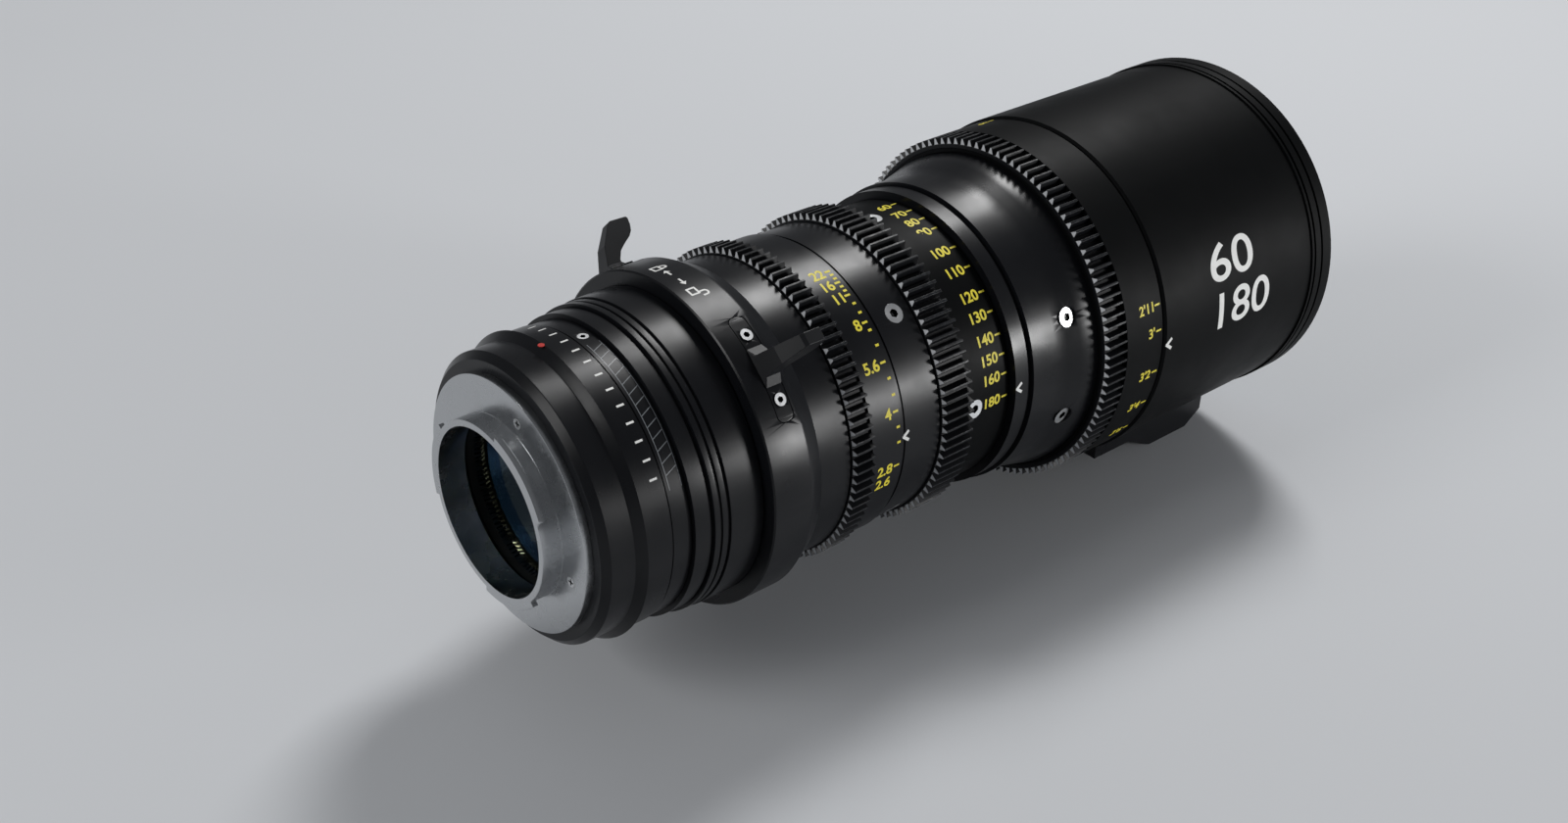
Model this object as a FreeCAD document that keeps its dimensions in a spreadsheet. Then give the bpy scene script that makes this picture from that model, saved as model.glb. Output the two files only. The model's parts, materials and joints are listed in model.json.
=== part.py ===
"""Cinema zoom lens on its mount adapter: a parametric assembly for FreeCAD.

Frame: the optical axis is +Y and points to the subject, +Z is up, and the
origin is on the axis in the plane of the camera-side flange.  A station is a
Y value, and an angle is counted from the top, clockwise for someone behind
the lens.  All sizes are in millimetres.
"""

import FreeCAD, Part
import math
import os
import Sketcher

# Fits and clearances
RUNNING_FIT = 0.06
RING_GAP = 0.4
INNER_GAP = 0.5
PRESS_GAP = 0.15

# Camera-side bayonet
FLANGE_R = 30.6
FLANGE_DEEP = 2.0
THROAT_R = 21.8
THROAT_BORE_R = 20.2
THROAT_LONG = 5.0
CLAW_R = 23.0
CLAW_THICK = 1.4
CLAW_ARC_ANGLE = 54.0
DATUM = 0.0

# Adapter barrels and the back-focus ring
ADAPTER_R = 34.8
ADAPTER_BORE_R = 29.0
ADAPTER_LIP = 1.6
FLARE_REAR = 9.8
FLARE_R = 36.8
BACKFOCUS_REAR = 12.2
TICK_RING_R = 35.8
TICK_RING_LONG = 7.2
LADDER_RING_R = 35.5
LADDER_RING_LONG = 4.8
GROOVE_DEEP = 0.5
GROOVE_WIDE = 0.6
HUB_R = 32.6
COLLAR_R = 36.7
COLLAR_LONG = 4.2
RIB_R = 37.5
RIB_LONG = 1.5
WIDE_R = 37.8
WIDE_LONG = 9.6

# Lens mount and lock ring
SEAT_Y = 46.6
MOUNT_TUBE_R = 26.95
MOUNT_BORE_R = 24.6
MOUNT_TUBE_LONG = 15.0
MOUNT_FLANGE_R = 31.4
MOUNT_FLANGE_THICK = 3.0
LUG_R = 34.9
LUG_ARC_ANGLE = 34.0
NECK_R = 35.4
LOCK_R = 41.4
LOCK_REAR_R = 41.0
LOCK_FRONT_R = 38.8
LOCK_BODY_LONG = 10.4
LOCK_BEVEL_LONG = 5.2
LOCK_SHOULDER_LONG = 13.6
TONGUE_R = 32.0
TONGUE_THICK = 1.2
TONGUE_ARC_ANGLE = 34.0
LEVER_HEIGHT = 11.8
LEVER_REACH = 12.0
LEVER_FOOT_WIDE = 9.6
LEVER_FOOT_HIGH = 1.3
LEVER_NECK_WIDE = 5.4
LEVER_TIP_WIDE = 2.8
LEVER_RIGHT_ANGLE = 42.2
LEVER_LEFT_ANGLE = -44.5
PLATE_INSET = 5.0
PLATE_ARC_ANGLE = 36.6
PLATE_THICK = 1.0
PLATE_WIDE = 4.6
PLATE_GAP = 0.2
PLATE_CORNER_R = 1.8
PLATE_SCREW_ANGLE = 11.1
LOCK_EDGE = 0.3

# Lens barrels
REAR_BARREL_R = 37.6
REAR_BARREL_LONG = 11.8
TUBE_R = 35.0
TUBE_BORE_R = 32.8
IRIS_GEAR_LONG = 5.8
IRIS_RING_R = 38.4
IRIS_RING_LONG = 15.0
MID_BARREL_R = 37.8
MID_BARREL_LONG = 12.2
ZOOM_RING_R = 37.2
ZOOM_RING_LONG = 23.6
ZOOM_GEAR_LONG = 9.0
MAIN_BAND_R = 39.2
MAIN_BAND_LONG = 5.5
MAIN_GROOVE_LONG = 1.1
MAIN_TUBE_SEAT = 2.2
MAIN_R = 40.0
MAIN_LONG = 20.0
MAIN_STRAIGHT_LONG = 8.0
MAIN_CONE_LONG = 10.4
MAIN_BORE_R = 37.5
SLEEVE_R = 42.5
FOCUS_GEAR_LONG = 6.6
FOCUS_RING_R = 46.4
FOCUS_RING_LONG = 20.0
FRONT_R = 47.5
FRONT_BARREL_R = 47.0
FRONT_REAR_CHAMFER = 0.6
FRONT_BARREL_LONG = 68.8
FRONT_WALL = 2.5
SLEEVE_SEAT_LONG = 6.0
RIM_LAND = 3.6
RIM_GROOVE_WIDE = 0.8
RIM_GROOVE_DEEP = 0.5
RIM_GROOVE_PITCH = 3.0
FILTER_R = 42.5
TRIM_LONG = 5.0
RELIEF_REAR_GAP = 0.5
RELIEF_FRONT_LAND = 1.4
RELIEF_R = 44.6

# Gears, all of module 0.8
GEAR_MODULE = 0.8
IRIS_TEETH = 97
ZOOM_TEETH = 98
FOCUS_TEETH = 114
TOOTH_TIP = 0.55
TOOTH_ROOT = 1.75
GEAR_SEAT = 0.9

# Keys, pins and slots
KEY_R = 1.4
SLOT_CLEAR = 0.35
PIN_R = 1.2
IRIS_KEY_ANGLE = 150.0
ZOOM_KEY_ANGLE = 166.0
ZOOM_KEY_AHEAD = 6.0

# Travels: the rings in degrees, the groups in millimetres
IRIS_OPEN_ANGLE = 14.0
IRIS_CLOSE_ANGLE = 68.0
ZOOM_TURN_ANGLE = 94.0
FOCUS_NEAR_ANGLE = 14.5
FOCUS_FAR_ANGLE = 251.5
VARIATOR_TRAVEL = 32.8
COMPENSATOR_TRAVEL = 4.9
FOCUS_TRAVEL = 7.9

# Inner optics carriers
GUIDE_R = 29.5
GUIDE_BORE_R = 27.5
CAM_R = 32.2
CAM_BORE_R = 30.1
CELL_WALL = 1.6
FRONT_GLASS_R = 41.6
CONVERTER_BORE_R = 21.0
VARIATOR_LONG = 13.0
COMPENSATOR_LONG = 9.0
VARIATOR_BORE_R = 24.5
RELAY_BORE_R = 21.5
FOCUS_CELL_BORE_R = 34.0
FOCUS_CELL_LONG = 18.0
FRONT_CELL_LONG = 46.0
CONVERTER_GLASS_SINK = 2.0
CONVERTER_GLASS_DEEP = 4.0
CONVERTER_FRONT_SINK = 7.0
GROUP_GLASS_SINK = 2.0
VARIATOR_GLASS_SINK = 3.5
RELAY_GLASS_DEEP = 5.0
RELAY_REAR_SINK = 2.0
RELAY_FRONT_SINK = 8.0
FOCUS_GLASS_SINK = 9.0
FOCUS_GLASS_DEEP = 6.0
FRONT_GLASS_SINK = 12.0
FRONT_GLASS_DEEP = 6.0
SECOND_GLASS_SINK = 24.4
SECOND_GLASS_DEEP = 8.0
WEAK_BOW = 1.5
MID_BOW = 2.0
STRONG_BOW = 3.0
FRONT_BOW = 4.6

# Iris
IRIS_OUTER_R = 26.6
BLADE_BORE_R = 16.5
BLADE_OUTER_R = 22.3
BLADE_PIVOT_R = 24.4
BLADE_EAR_R = 1.5
BLADE_PIN_R = 0.6
BLADE_THICK = 0.16
BLADE_PITCH = 0.34
BLADE_ARC_ANGLE = 118.0
BLADE_COUNT = 8
BLADE_TURN_RATIO = 0.414
CAM_RIM_LONG = 3.8
CAM_WEB = 1.0
HOUSING_BORE_R = 18.6

# Support foot
FOOT_HALF = 20.0
FOOT_REAR = 179.5
FOOT_BRIDGE = 3.4
FOOT_BLOCK = 4.9
FOOT_BLOCK_REAR = 194.0
FOOT_BLOCK_FLAT = 204.0
FOOT_FRONT = 226.0
FOOT_NOSE_LONG = 6.0
FOOT_NOSE_RISE = 4.1
FOOT_HOLE_SIDE = 8.0
FOOT_HOLE_Y = 212.0
FOOT_HOLE_DEEP = 8.0
SMALL_TAP_R = 2.55
LARGE_TAP_R = 3.97
FOOT_SCREW_R = 1.2
FOOT_SCREW_SIDE = 12.0
FOOT_SCREW_BACK = 8.5
FOOT_SCREW_AHEAD = 5.0
FOOT_SCREW_SINK = 1.5

# Screws
SEAM = 0.3
SET_SCREW_R = 2.5
SET_SCREW_DEEP = 1.7
BACKFOCUS_SCREW_R = 1.4
PLATE_SCREW_R = 1.5
SOCKET_SHARE = 0.46
MOUNT_SCREW_R = 1.25
MID_SCREW_AHEAD = 7.6
ZOOM_SCREW_AHEAD = 3.3
MAIN_SCREW_BACK = 7.5

doc = FreeCAD.newDocument("CinemaZoom")
sheet = doc.addObject("Spreadsheet::Sheet", "Sizes")
row = 0


def entry(alias, content):
    """Puts one named cell into the sheet."""
    global row
    row += 1
    sheet.set("A%d" % row, alias)
    sheet.set("B%d" % row, "=" + content)
    sheet.setAlias("B%d" % row, alias)


# Every size above goes into the sheet under its own name
for name, value in sorted(vars().items()):
    if name.isupper() and isinstance(value, (int, float)):
        entry(name.lower(), str(value))
doc.recompute()


def number(alias):
    """The value that the sheet holds for a name."""
    return float(sheet.get(alias))


def total(terms):
    """The sum that a text such as 'seat_y + lug_arc_angle - ring_gap' names."""
    result = 0.0
    sign = 1.0
    for word in terms.split():
        if word in ("+", "-"):
            sign = 1.0 if word == "+" else -1.0
        else:
            result += sign * number(word)
    return result


def formula(terms):
    """The same sum as an expression on the sheet."""
    return " ".join(word if word in ("+", "-") else "Sizes." + word for word in terms.split())


def derived(alias, terms):
    """Adds a size or a place that follows from named sizes, as a formula."""
    entry(alias, terms)
    sheet.recompute()


# Stations along the axis, from the camera to the subject
derived("throat_end", "0 - throat_long")
derived("claw_front", "claw_thick - throat_long")
derived("focus_turn", "focus_near_angle + focus_far_angle")
derived("tick_front", "backfocus_rear + tick_ring_long")
derived("backfocus_front", "tick_front + ladder_ring_long")
derived("collar_rear", "backfocus_front + ring_gap / 2")
derived("collar_front", "collar_rear + collar_long")
derived("rib_front", "collar_front + 2 * groove_wide + 2 * rib_long")
derived("wide_front", "rib_front + wide_long")
derived("lock_rear", "wide_front + ring_gap")
derived("lock_body_front", "lock_rear + lock_body_long")
derived("lock_front", "lock_body_front + lock_bevel_long")
derived("lug_front", "seat_y + mount_flange_thick")
derived("tongue_rear", "lug_front + press_gap")
derived("tongue_front", "tongue_rear + tongue_thick")
derived("rear_neck_front", "tongue_front + ring_gap")
derived("lock_shoulder", "lock_rear + lock_shoulder_long")
derived("rear_barrel_front", "lock_shoulder + rear_barrel_long")
derived("iris_rear", "rear_barrel_front + ring_gap")
derived("iris_gear_front", "iris_rear + iris_gear_long")
derived("iris_front", "iris_rear + iris_ring_long")
derived("mid_rear", "iris_front + ring_gap")
derived("mid_front", "mid_rear + mid_barrel_long")
derived("zoom_rear", "mid_front + ring_gap")
derived("zoom_gear_front", "zoom_rear + zoom_gear_long")
derived("zoom_front", "zoom_rear + zoom_ring_long")
derived("main_rear", "zoom_front + ring_gap")
derived("main_step", "main_rear + main_tube_seat")
derived("main_band_front", "main_rear + main_band_long")
derived("main_front", "main_band_front + main_long")
derived("focus_rear", "main_front + ring_gap")
derived("focus_gear_front", "focus_rear + focus_gear_long")
derived("focus_front", "focus_rear + focus_ring_long")
derived("front_rear", "focus_front + ring_gap")
derived("sleeve_front", "front_rear + sleeve_seat_long")
derived("front_end", "front_rear + front_barrel_long")
derived("trim_rear", "front_end - trim_long")

parts = []


def keep(shape_object, node):
    """Labels an object as a node of the assembly."""
    shape_object.Label = node
    parts.append(shape_object)
    return shape_object


def origin_plane(body, role):
    """The body's own origin plane with the given role."""
    for feature in body.Origin.OriginFeatures:
        if feature.Role == role:
            return feature
    raise ValueError(role)


def turned(node, outline):
    """A revolved body: the outline is a closed list of (radius, station) sums."""
    body = doc.addObject("PartDesign::Body", node + "_body")
    sketch = body.newObject("Sketcher::SketchObject", node + "_outline")
    sketch.AttachmentSupport = (origin_plane(body, "XY_Plane"), [""])
    sketch.MapMode = "FlatFace"
    points = [FreeCAD.Vector(total(radius), total(place), 0) for radius, place in outline]
    count = len(points)
    for index in range(count):
        sketch.addGeometry(Part.LineSegment(points[index], points[(index + 1) % count]), False)
    for index in range(count):
        sketch.addConstraint(Sketcher.Constraint("Coincident", index, 2, (index + 1) % count, 1))
    for index, (radius, place) in enumerate(outline):
        across = sketch.addConstraint(Sketcher.Constraint("DistanceX", -1, 1, index, 1, points[index].x))
        sketch.setExpression("Constraints[%d]" % across, formula(radius))
        along = sketch.addConstraint(Sketcher.Constraint("DistanceY", -1, 1, index, 1, points[index].y))
        sketch.setExpression("Constraints[%d]" % along, formula(place))
    revolve = body.newObject("PartDesign::Revolution", node + "_turned")
    revolve.Profile = sketch
    revolve.ReferenceAxis = (sketch, ["V_Axis"])
    revolve.Angle = 360.0
    sketch.Visibility = False
    body.Tip = revolve
    doc.recompute()
    return body


def tube(node, outer, bore, rear, front):
    """A plain revolved ring."""
    return turned(node, [(bore, rear), (outer, rear), (outer, front), (bore, front)])


def solid(node, shape):
    """A node whose shape is worked out in code from the sheet."""
    feature = doc.addObject("Part::Feature", node + "_shape")
    feature.Shape = shape.removeSplitter()
    return feature


def at(radius, angle, place):
    """The point at a radius, an angle from the top in degrees and a station."""
    turn = math.radians(angle)
    return FreeCAD.Vector(radius * math.sin(turn), place, radius * math.cos(turn))


def outward(angle):
    """The unit vector that points away from the axis at an angle."""
    return at(1.0, angle, 0.0)


AXIS = FreeCAD.Vector(0, 1, 0)
CENTRE = FreeCAD.Vector(0, 0, 0)


def turn_about_axis(shape, angle):
    """A copy of a shape turned about the optical axis."""
    copy = shape.copy()
    copy.rotate(CENTRE, AXIS, angle)
    return copy


def arc_block(outer, bore, rear, front, middle, arc):
    """A sector of a ring, centred on an angle."""
    points = [FreeCAD.Vector(bore, rear, 0), FreeCAD.Vector(outer, rear, 0),
              FreeCAD.Vector(outer, front, 0), FreeCAD.Vector(bore, front, 0)]
    face = Part.Face(Part.makePolygon(points + points[:1]))
    # a turn of +90 about the axis carries +X to -Z, so the top lies at -90
    face.rotate(CENTRE, AXIS, middle - arc / 2 - 90)
    return face.revolve(CENTRE, AXIS, arc)


def peg(radius, inner, outer, angle, place):
    """A round peg that points away from the axis."""
    return Part.makeCylinder(radius, outer - inner, at(inner, angle, place), outward(angle))


def hexagon(across, inner, outer, angle, place):
    """A six-sided socket that points away from the axis."""
    corners = []
    for index in range(7):
        turn = math.radians(60 * index)
        corners.append(FreeCAD.Vector(across * math.cos(turn), across * math.sin(turn), 0))
    prism = Part.Face(Part.makePolygon(corners)).extrude(FreeCAD.Vector(0, 0, outer - inner))
    prism.Placement = FreeCAD.Placement(at(inner, angle, place),
                                        FreeCAD.Rotation(FreeCAD.Vector(0, 0, 1), outward(angle)))
    return prism


def cut_from(node, body, tools):
    """A body with shapes cut away, checked to have really lost material."""
    before = body.Shape.Volume
    shape = body.Shape.copy()
    for tool in tools:
        shape = shape.cut(tool)
    if shape.Volume >= before - 0.001:
        raise ValueError("nothing was cut from " + node)
    return solid(node, shape)


def slot_tool(inner, outer, place, half, first, last):
    """An arc slot with round ends, for a peg that sweeps from one angle to another."""
    wall = arc_block(outer, inner, place - half, place + half, (first + last) / 2, last - first)
    return [wall, peg(half, inner, outer, first, place), peg(half, inner, outer, last, place)]


def gear(node, teeth, bore, rear, front):
    """A gear ring with pointed teeth of the standard module."""
    module = number("gear_module")
    pitch_r = module * number(teeth) / 2
    tip_r = pitch_r + module
    root_r = pitch_r - 1.25 * module
    count = int(round(number(teeth)))
    points = []
    for index in range(count):
        middle = 360.0 * index / count
        root_half = math.degrees(number("tooth_root") / 2 / root_r)
        tip_half = math.degrees(number("tooth_tip") / 2 / tip_r)
        points.append(at(root_r, middle - root_half, rear))
        points.append(at(tip_r, middle - tip_half, rear))
        points.append(at(tip_r, middle + tip_half, rear))
        points.append(at(root_r, middle + root_half, rear))
    face = Part.Face(Part.makePolygon(points + points[:1]))
    blank = face.extrude(FreeCAD.Vector(0, front - rear, 0))
    start = FreeCAD.Vector(0, rear, 0)
    return solid(node, blank.cut(Part.makeCylinder(bore, front - rear, start, AXIS)))


def lens_face(radius, place, bow):
    """Half of a spherical face in the XY plane, from the edge to the axis."""
    edge = FreeCAD.Vector(radius, place, 0)
    pole = FreeCAD.Vector(0, place + bow, 0)
    ball_r = (radius * radius + bow * bow) / (2 * abs(bow))
    middle_y = place + bow - math.copysign(ball_r, bow)
    half = radius / 2
    between = FreeCAD.Vector(half, middle_y + math.copysign(math.sqrt(ball_r ** 2 - half ** 2), bow), 0)
    return Part.Arc(edge, between, pole).toShape(), edge, pole


def lens_element(radius, rear, front, rear_bow, front_bow):
    """A round glass element; a bow is how far a face's middle lies ahead of its edge."""
    rear_arc, rear_edge, rear_pole = lens_face(radius, rear, rear_bow)
    front_arc, front_edge, front_pole = lens_face(radius, front, front_bow)
    outline = Part.Wire([rear_arc, Part.makeLine(rear_edge, front_edge), front_arc,
                         Part.makeLine(front_pole, rear_pole)])
    return Part.Face(outline).revolve(CENTRE, AXIS, 360)


def glass_element(node, radius, rear, deep, rear_bow, front_bow):
    """A lens element kept as a node: its sizes are sums of named sizes, as in an outline."""
    glass = lens_element(total(radius), total(rear), total(rear) + total(deep), total(rear_bow),
                         total(front_bow))
    return keep(solid(node, glass), node)


def set_screws(node, radius, places, screw_r="set_screw_r"):
    """Headless socket screws, flush with a barrel, as separate solids."""
    deep = number("set_screw_deep")
    screws = []
    for angle, place in places:
        screw = peg(number(screw_r), radius - deep, radius - 0.15, angle, place)
        socket = hexagon(number(screw_r) * number("socket_share"), radius - deep / 2, radius + 1,
                         angle, place)
        screws.append(screw.cut(socket))
    return keep(solid(node, Part.makeCompound(screws)), node)


def screw_pockets(radius, places, screw_r="set_screw_r"):
    """The pockets that set screws sit in."""
    deep = number("set_screw_deep")
    reach = number(screw_r) + 0.05
    return [peg(reach, radius - deep, radius + 2, angle, place) for angle, place in places]


# Camera-side bayonet

SCREW_ANGLES = (15.0, 105.0, 195.0, 285.0)
CLAW_ANGLES = (40.0, 160.0, 280.0)
derived("bayonet_screw_ring", "throat_r + flange_r - adapter_lip")


def flush_screws(node, places, depth):
    """Countersunk screws with a cross recess, their heads level with a rear face."""
    screws = []
    radius = number("mount_screw_r")
    for angle, ring_r, rear in places:
        middle = at(ring_r, angle, rear)
        screw = Part.makeCylinder(radius, depth, middle, AXIS)
        for turn in (0, 90):
            bar = Part.makeBox(radius * 1.3, depth / 2, radius * 0.3,
                               FreeCAD.Vector(-radius * 0.65, -depth / 4, -radius * 0.15))
            bar.rotate(CENTRE, AXIS, turn)
            bar.translate(middle)
            screw = screw.cut(bar)
        screws.append(screw)
    return keep(solid(node, Part.makeCompound(screws)), node)


def flush_pockets(places, depth):
    """The holes for countersunk screws."""
    radius = number("mount_screw_r")
    return [Part.makeCylinder(radius, depth, at(ring_r, angle, rear), AXIS)
            for angle, ring_r, rear in places]


bayonet = turned("camera_bayonet", [
    ("throat_bore_r", "throat_end"), ("throat_r", "throat_end"), ("throat_r", "datum"),
    ("flange_r", "datum"), ("flange_r", "flange_deep"), ("throat_bore_r", "flange_deep")])
shape = bayonet.Shape.copy()
for angle in CLAW_ANGLES:
    shape = shape.fuse(arc_block(number("claw_r"), number("throat_bore_r") + number("seam"),
                                 number("throat_end"), number("claw_front"), angle,
                                 number("claw_arc_angle")))
bayonet_places = [(angle, number("bayonet_screw_ring") / 2, 0.0) for angle in SCREW_ANGLES]
for tool in flush_pockets(bayonet_places, number("flange_deep")):
    shape = shape.cut(tool)
keep(solid("camera_bayonet", shape), "camera_bayonet")
flush_screws("bayonet_screws", bayonet_places, number("flange_deep"))


# Adapter barrels

derived("flare_front", "backfocus_rear - ring_gap")
derived("lip_r", "adapter_r - adapter_lip")
derived("lip_front", "flange_deep + adapter_lip")
keep(turned("adapter_rear_barrel", [
    ("adapter_bore_r", "flange_deep"), ("lip_r", "flange_deep"), ("adapter_r", "lip_front"),
    ("adapter_r", "flare_rear"), ("flare_r", "flare_front"), ("hub_r", "flare_front"),
    ("hub_r", "collar_front"), ("adapter_bore_r", "collar_front")]), "adapter_rear_barrel")

derived("backfocus_bore_r", "hub_r + running_fit")
derived("tick_groove_r", "tick_ring_r - groove_deep")
derived("tick_groove_rear", "tick_front - groove_wide")
derived("backfocus_screw_y", "backfocus_front - ladder_ring_long / 2")
backfocus_body = turned("backfocus_ring", [
    ("backfocus_bore_r", "backfocus_rear"), ("tick_ring_r", "backfocus_rear"),
    ("tick_ring_r", "tick_groove_rear"), ("tick_groove_r", "tick_groove_rear"),
    ("tick_groove_r", "tick_front"), ("ladder_ring_r", "tick_front"),
    ("ladder_ring_r", "backfocus_front"), ("backfocus_bore_r", "backfocus_front")])
backfocus_places = [(0.0, number("backfocus_screw_y"))]
ring = cut_from("backfocus_ring", backfocus_body,
                screw_pockets(number("ladder_ring_r"), backfocus_places, "backfocus_screw_r"))
keep(ring, "backfocus_ring")
set_screws("backfocus_screw", number("ladder_ring_r"), backfocus_places, "backfocus_screw_r")

derived("collar_groove_r", "collar_r - groove_deep")
derived("rib_groove_r", "rib_r - groove_deep")
derived("rib_one_rear", "collar_front + groove_wide")
derived("rib_one_front", "rib_one_rear + rib_long")
derived("rib_two_rear", "rib_one_front + groove_wide")
derived("wide_rear", "rib_front + groove_wide")
derived("seat_bore_r", "mount_tube_r + press_gap")
keep(turned("adapter_front_barrel", [
    ("hub_r", "collar_rear"), ("collar_r", "collar_rear"), ("collar_r", "collar_front"),
    ("collar_groove_r", "collar_front"), ("collar_groove_r", "rib_one_rear"),
    ("rib_r", "rib_one_rear"), ("rib_r", "rib_one_front"), ("rib_groove_r", "rib_one_front"),
    ("rib_groove_r", "rib_two_rear"), ("rib_r", "rib_two_rear"), ("rib_r", "rib_front"),
    ("rib_groove_r", "rib_front"), ("rib_groove_r", "wide_rear"), ("wide_r", "wide_rear"),
    ("wide_r", "wide_front"), ("neck_r", "wide_front"), ("neck_r", "seat_y"),
    ("seat_bore_r", "seat_y"), ("seat_bore_r", "collar_front"), ("hub_r", "collar_front")]),
    "adapter_front_barrel")


# Converter group of the adapter, which the back-focus ring moves

derived("converter_r", "adapter_bore_r - running_fit")
derived("converter_rear", "flange_deep + inner_gap + inner_gap")
derived("converter_front", "collar_front - inner_gap - inner_gap")
keep(tube("converter_cell", "converter_r", "converter_bore_r", "converter_rear", "converter_front"),
     "converter_cell")
derived("converter_rear_glass", "converter_rear + converter_glass_sink")
derived("converter_front_glass", "converter_front - converter_front_sink")
glass_element("converter_rear_element", "converter_bore_r", "converter_rear_glass",
              "converter_glass_deep", "weak_bow", "weak_bow")
glass_element("converter_front_element", "converter_bore_r", "converter_front_glass",
              "converter_glass_deep", "- weak_bow", "- weak_bow")


# Lens mount

LUG_ANGLES = (45.0, 135.0, 225.0, 315.0)
derived("mount_tube_rear", "seat_y - mount_tube_long")
mount_body = turned("lens_mount", [
    ("mount_bore_r", "mount_tube_rear"), ("mount_tube_r", "mount_tube_rear"),
    ("mount_tube_r", "seat_y"), ("mount_flange_r", "seat_y"),
    ("mount_flange_r", "lug_front"), ("mount_bore_r", "lug_front")])
shape = mount_body.Shape.copy()
for angle in LUG_ANGLES:
    shape = shape.fuse(arc_block(number("lug_r"), number("mount_tube_r") + number("seam"),
                                 number("seat_y"), number("lug_front"), angle, number("lug_arc_angle")))
derived("mount_screw_ring", "mount_tube_r + mount_flange_r")
mount_places = [(angle - 45.0, number("mount_screw_ring") / 2, number("seat_y"))
                for angle in LUG_ANGLES]
for tool in flush_pockets(mount_places, number("mount_flange_thick")):
    shape = shape.cut(tool)
keep(solid("lens_mount", shape), "lens_mount")
flush_screws("mount_screws", mount_places, number("mount_flange_thick"))


# Lock ring with its two bolted levers

derived("lock_bore_r", "neck_r + running_fit")
derived("lock_mouth_r", "rear_barrel_r + ring_gap")
derived("lock_edge_front", "lock_rear + lock_edge")
lock_body = turned("lock_ring", [
    ("lock_bore_r", "lock_rear"), ("lock_rear_r", "lock_rear"), ("lock_r", "lock_edge_front"),
    ("lock_r", "lock_body_front"), ("lock_front_r", "lock_front"), ("lock_mouth_r", "lock_front"),
    ("lock_mouth_r", "tongue_front"), ("lock_bore_r", "tongue_front")])
lock_shape = lock_body.Shape.copy()
for angle in LUG_ANGLES:
    lock_shape = lock_shape.fuse(arc_block(number("lock_mouth_r") + number("seam"),
                                           number("tongue_r"), number("tongue_rear"),
                                           number("tongue_front"), angle, number("tongue_arc_angle")))
derived("plate_rear", "lock_rear + plate_inset")
derived("plate_front", "plate_rear + plate_wide")
derived("plate_floor_r", "lock_r - plate_thick")


def plate_blank(outer, angle, inset):
    """A lever plate's round-cornered outline on the ring, drawn in by an inset all round."""
    rear = number("plate_rear") + inset
    front = number("plate_front") - inset
    inset_angle = math.degrees(inset / number("lock_r"))
    arc = number("plate_arc_angle") - 2 * inset_angle
    blank = arc_block(outer, number("plate_floor_r"), rear, front, angle, arc)
    corners = []
    for edge in blank.Edges:
        first, last = [vertex.Point for vertex in edge.Vertexes]
        if abs(abs((last - first).normalize().dot(outward(angle))) - 1) < 0.1:
            corners.append(edge)
    return blank.makeFillet(number("plate_corner_r") - inset, corners)


levers = {"right": number("lever_right_angle"), "left": number("lever_left_angle")}
for side, angle in levers.items():
    lock_shape = lock_shape.cut(plate_blank(number("lock_r") + number("plate_thick"), angle, 0.0))
keep(solid("lock_ring", lock_shape), "lock_ring")

# The tab's side view: shares of its reach forward and of its height
LEVER_OUTLINE = ((0.0, 0.0), (0.36, 0.0), (0.38, 0.16), (0.50, 0.34), (0.68, 0.47), (0.84, 0.57),
                 (0.93, 0.67), (0.98, 0.80), (1.0, 0.95), (0.97, 0.99), (0.60, 1.0), (0.52, 0.96),
                 (0.40, 0.80), (0.20, 0.53))


def lever_paddle(angle):
    """The finger tab: it leans forward off its plate, widens to a head and thins towards its tip."""
    base = number("lock_r")
    rear = number("plate_rear")
    points = []
    for forward, up in LEVER_OUTLINE:
        points.append(FreeCAD.Vector(0, rear + forward * number("lever_reach"),
                                     base + up * number("lever_height")))
    half = number("lever_foot_wide") / 2
    side_view = Part.Face(Part.makePolygon(points + points[:1]))
    tab = side_view.extrude(FreeCAD.Vector(2 * half, 0, 0))
    tab.translate(FreeCAD.Vector(-half, 0, 0))
    foot_top = base + number("lever_foot_high")
    top = base + number("lever_height") + 1
    end_view = []
    for way in (1, -1):
        side = [(half, base - 1), (half, base), (number("lever_neck_wide") / 2, foot_top),
                (number("lever_tip_wide") / 2, top)]
        for across, height in side[::way]:
            end_view.append(FreeCAD.Vector(way * across, rear - 1, height))
    wedge = Part.Face(Part.makePolygon(end_view + end_view[:1]))
    tab = tab.common(wedge.extrude(FreeCAD.Vector(0, number("lever_reach") + 2, 0)))
    start = FreeCAD.Vector(0, rear - 1, 0)
    tab = tab.cut(Part.makeCylinder(base, number("lever_reach") + 2, start, AXIS))
    return turn_about_axis(tab, angle)


lever_plates = []
lever_screws = []
for side, angle in levers.items():
    plate = plate_blank(number("lock_r"), angle, number("plate_gap"))
    middle = (number("plate_rear") + number("plate_front")) / 2
    for offset in (-number("plate_screw_angle"), number("plate_screw_angle")):
        hole = peg(number("plate_screw_r"), number("plate_floor_r"),
                   number("lock_r") + number("plate_thick"), angle + offset, middle)
        plate = plate.cut(hole)
        screw = peg(number("plate_screw_r"), number("plate_floor_r"),
                    number("lock_r") + number("seam"), angle + offset, middle)
        socket = hexagon(number("plate_screw_r") / 2, number("plate_floor_r") + number("seam"),
                         number("lock_r") + number("plate_thick"), angle + offset, middle)
        lever_screws.append(screw.cut(socket))
    lever_plates.append(plate)
    keep(solid("lever_tab_" + side, lever_paddle(angle)), "lever_tab_" + side)
keep(solid("lever_plates", Part.makeCompound(lever_plates)), "lever_plates")
keep(solid("lever_screws", Part.makeCompound(lever_screws)), "lever_screws")


# Rear barrel and the tube that carries the rings

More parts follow.
